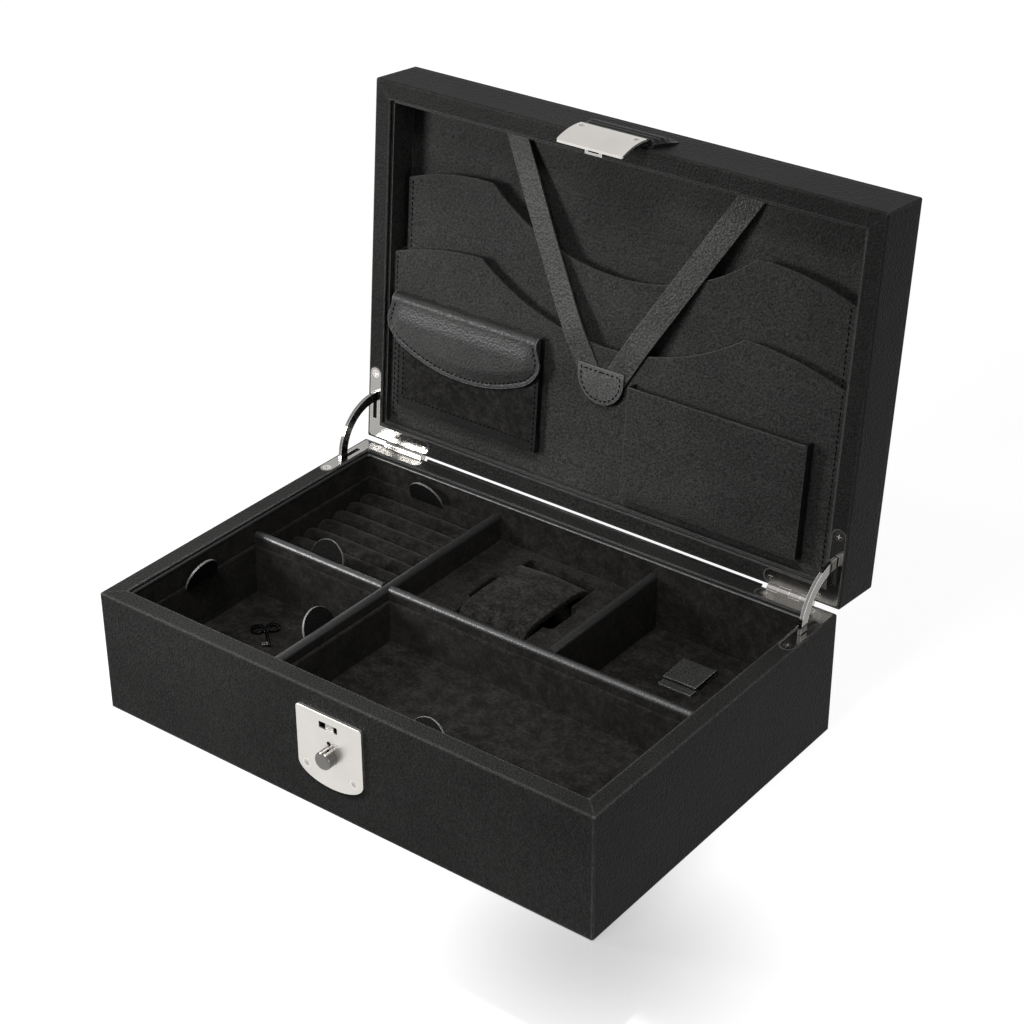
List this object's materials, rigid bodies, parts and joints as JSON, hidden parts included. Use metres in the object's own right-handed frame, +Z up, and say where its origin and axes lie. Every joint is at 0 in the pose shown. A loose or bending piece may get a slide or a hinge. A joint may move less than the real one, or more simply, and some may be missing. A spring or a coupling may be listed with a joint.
{
  "type": "jewelry box",
  "caption": "Leather-covered jewelry box with hinged lid, lift-out trays, ring rolls, watch cuff, lid pockets and a push-button hasp lock.",
  "frame": {"origin": "middle of the box's underside, on the surface it stands on", "axes": "+X to the right along the front, +Y to the hinged back, +Z up"},
  "size_m": [0.33, 0.2856, 0.3036],
  "materials": {
    "cover_leather": "satin",
    "lid_leather": "satin",
    "suede": "matte",
    "felt": "matte",
    "board": "matte",
    "backing_board": "matte",
    "nickel": "polished",
    "steel": "satin"
  },
  "bodies": {
    "base": {"base_pad": "felt", "base_carcass": "board", "base_cover": "cover_leather", "base_lining": "suede", "long_divider": "suede", "left_divider": "suede", "right_divider": "suede", "back_divider": "suede", "divider_caps": "cover_leather", "tray_supports": "board", "watch_insert": "suede", "base_hinge_leaf_left": "nickel", "base_hinge_leaf_right": "nickel", "hinge_pins": "steel", "base_hinge_screws": "nickel", "lock_plate": "nickel", "lock_case": "steel", "lock_screws": "nickel", "catch_springs": "steel"},
    "lid": {"lid_carcass": "board", "lid_cover": "cover_leather", "lid_lining": "lid_leather", "lid_backing": "backing_board", "rear_pocket_panel": "lid_leather", "front_pocket_panel": "lid_leather", "pouch_body": "suede", "box_pocket": "lid_leather", "lid_strap_left": "lid_leather", "lid_strap_right": "lid_leather", "strap_tab": "lid_leather", "lid_hinge_leaf_left": "nickel", "lid_hinge_leaf_right": "nickel", "lid_hinge_screws": "nickel", "hasp_strap": "cover_leather"},
    "stay_arm_left": {"quadrant_arm_left": "nickel"},
    "stay_arm_right": {"quadrant_arm_right": "nickel"},
    "strap_fold": {"strap_knuckle": "cover_leather"},
    "hasp": {"hasp_plate": "nickel", "hasp_staple": "nickel", "hasp_screws": "nickel", "strap_backing": "cover_leather"},
    "flap": {"pouch_flap": "lid_leather"},
    "button": {"lock_button": "nickel"},
    "catch": {"lock_catch": "steel"},
    "ring_tray_unit": {"ring_tray": "suede", "ring_rolls": "suede", "ring_tray_tabs": "cover_leather"},
    "small_tray_unit": {"small_tray": "suede", "small_tray_tabs": "cover_leather"},
    "large_tray_unit": {"large_tray": "suede", "large_tray_tab": "cover_leather"},
    "panel_unit": {"floor_panel": "suede", "pull_loop": "cover_leather"},
    "cuff": {"watch_cuff": "suede"},
    "key_unit": {"key": "nickel"}
  },
  "joints": [
    {"name": "lid_hinge", "type": "hinge", "parent": "base", "child": "lid", "pos_m": [0, 0.1121, 0.0752], "axis": [-1, 0, 0], "range_deg": [-95, 0]},
    {"name": "left_arm_turn", "type": "hinge", "parent": "base", "child": "stay_arm_left", "pos_m": [-0.1595, 0.1121, 0.0752], "axis": [-1, 0, 0], "range_deg": [-47.6, 0]},
    {"name": "right_arm_turn", "type": "hinge", "parent": "base", "child": "stay_arm_right", "pos_m": [0.1595, 0.1121, 0.0752], "axis": [-1, 0, 0], "range_deg": [-47.6, 0]},
    {"name": "strap_flex", "type": "hinge", "parent": "lid", "child": "strap_fold", "pos_m": [0, 0.1336, 0.30028], "axis": [-1, 0, 0], "range_deg": [0, 20]},
    {"name": "hasp_swing", "type": "hinge", "parent": "strap_fold", "child": "hasp", "pos_m": [0, 0.1336, 0.30028], "axis": [-1, 0, 0], "range_deg": [-14.2, 60]},
    {"name": "flap_fold", "type": "hinge", "parent": "lid", "child": "flap", "pos_m": [-0.094, 0.12483, 0.17256], "axis": [-1, 0, 0], "range_deg": [0, 90]},
    {"name": "button_press", "type": "slide", "parent": "base", "child": "button", "axis": [0, 1, 0], "range_m": [0, 0.0025], "stiffness_N_per_m": 500, "springref_m": -0.001},
    {"name": "catch_drop", "type": "slide", "parent": "base", "child": "catch", "axis": [0, 0, 1], "range_m": [-0.0035, 0], "deforming": ["catch_springs"]},
    {"name": "ring_tray_lift", "type": "slide", "parent": "base", "child": "ring_tray_unit", "axis": [0, 0, 1], "range_m": [0, 0.08]},
    {"name": "small_tray_lift", "type": "slide", "parent": "base", "child": "small_tray_unit", "axis": [0, 0, 1], "range_m": [0, 0.08]},
    {"name": "large_tray_lift", "type": "slide", "parent": "base", "child": "large_tray_unit", "axis": [0, 0, 1], "range_m": [0, 0.08]},
    {"name": "floor_panel_lift", "type": "slide", "parent": "base", "child": "panel_unit", "axis": [0, 0, 1], "range_m": [0, 0.08]},
    {"name": "cuff_lift", "type": "slide", "parent": "base", "child": "cuff", "axis": [0, 0, 1], "range_m": [0, 0.06]},
    {"name": "key_lift", "type": "slide", "parent": "small_tray_unit", "child": "key_unit", "axis": [0, 0, 1], "range_m": [0, 0.05]}
  ],
  "couplings": [
    {"joint": "left_arm_turn", "follows": "lid_hinge", "ratio": 0.5},
    {"joint": "right_arm_turn", "follows": "lid_hinge", "ratio": 0.5},
    {"joint": "strap_flex", "follows": "lid_hinge", "ratio": -0.21},
    {"joint": "catch_drop", "follows": "button_press", "ratio": -1.4}
  ]
}
